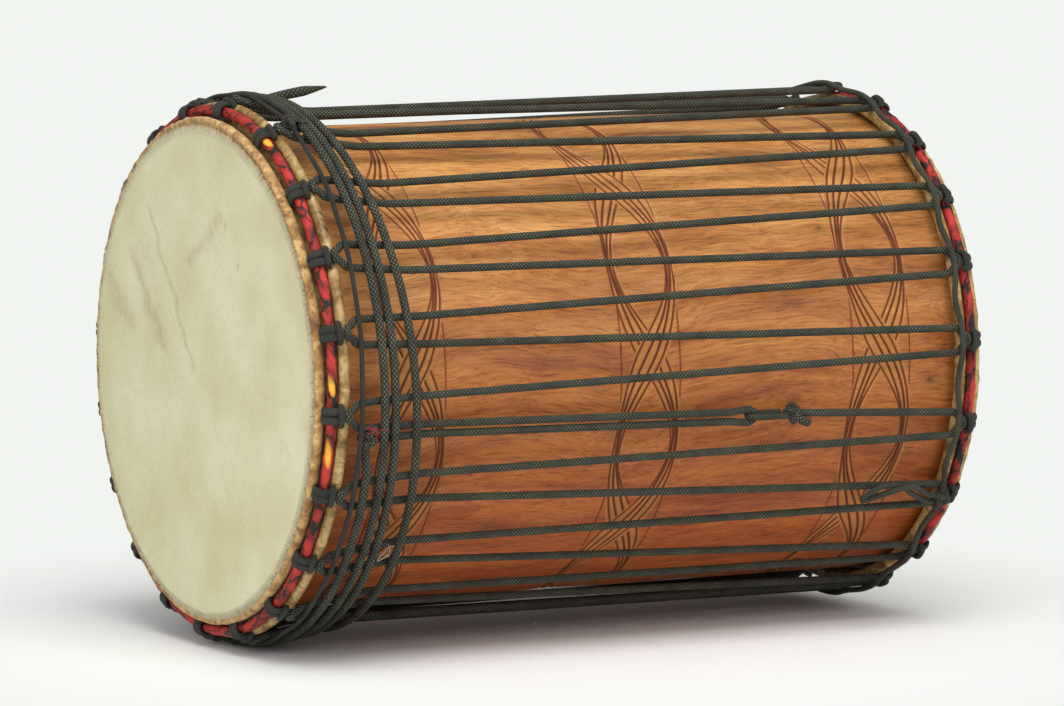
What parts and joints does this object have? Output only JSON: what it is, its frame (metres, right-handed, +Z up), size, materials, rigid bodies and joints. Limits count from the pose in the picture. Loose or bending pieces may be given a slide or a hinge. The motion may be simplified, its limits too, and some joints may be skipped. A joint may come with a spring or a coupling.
{
  "type": "dunun drum",
  "caption": "Cylindrical wooden bass drum with a hide head at each end, cloth-bound rings and rope lacing, lying on its side.",
  "frame": {"origin": "under the middle of the drum, on the surface that it lies on", "axes": "+X along the drum's axis from the front head to the rear head, +Z up, and +Y to the far side"},
  "size_m": [0.4888, 0.359, 0.3622],
  "materials": {
    "oiled_wood": "oiled, satin",
    "goat_hide": "short hair on the head, shaved rawhide at the rings",
    "steel": "bent round bar, welded, out of sight",
    "printed_cloth": "waxed cotton print, torn in strips and bound on",
    "braided_rope": "braided polyester, dusty"
  },
  "bodies": {
    "root": {"shell": "oiled_wood", "front_head": "goat_hide", "rear_head": "goat_hide", "front_flesh_ring": "steel", "rear_flesh_ring": "steel", "front_crown_ring": "steel", "rear_crown_ring": "steel", "front_crown_cloth": "printed_cloth", "rear_crown_cloth": "printed_cloth", "front_loop_01": "braided_rope", "front_loop_02": "braided_rope", "front_loop_03": "braided_rope", "front_loop_04": "braided_rope", "front_loop_05": "braided_rope", "front_loop_06": "braided_rope", "front_loop_07": "braided_rope", "front_loop_08": "braided_rope", "front_loop_09": "braided_rope", "front_loop_10": "braided_rope", "front_loop_11": "braided_rope", "front_loop_12": "braided_rope", "front_loop_13": "braided_rope", "front_loop_14": "braided_rope", "front_loop_15": "braided_rope", "front_loop_16": "braided_rope", "front_loop_17": "braided_rope", "front_loop_18": "braided_rope", "front_loop_19": "braided_rope", "front_loop_20": "braided_rope", "rear_loop_01": "braided_rope", "rear_loop_02": "braided_rope", "rear_loop_03": "braided_rope", "rear_loop_04": "braided_rope", "rear_loop_05": "braided_rope", "rear_loop_06": "braided_rope", "rear_loop_07": "braided_rope", "rear_loop_08": "braided_rope", "rear_loop_09": "braided_rope", "rear_loop_10": "braided_rope", "rear_loop_11": "braided_rope", "rear_loop_12": "braided_rope", "rear_loop_13": "braided_rope", "rear_loop_14": "braided_rope", "rear_loop_15": "braided_rope", "rear_loop_16": "braided_rope", "rear_loop_17": "braided_rope", "rear_loop_18": "braided_rope", "rear_loop_19": "braided_rope", "rear_loop_20": "braided_rope", "front_chain_rope": "braided_rope", "rear_chain_rope": "braided_rope", "lacing_rope": "braided_rope", "lacing_eye": "braided_rope", "lacing_eye_knot": "braided_rope", "lacing_tie_knot": "braided_rope", "spare_rope_winding": "braided_rope", "front_chain_knot": "braided_rope", "rear_chain_knot": "braided_rope", "rear_slip_end": "braided_rope"}
  },
  "joints": []
}
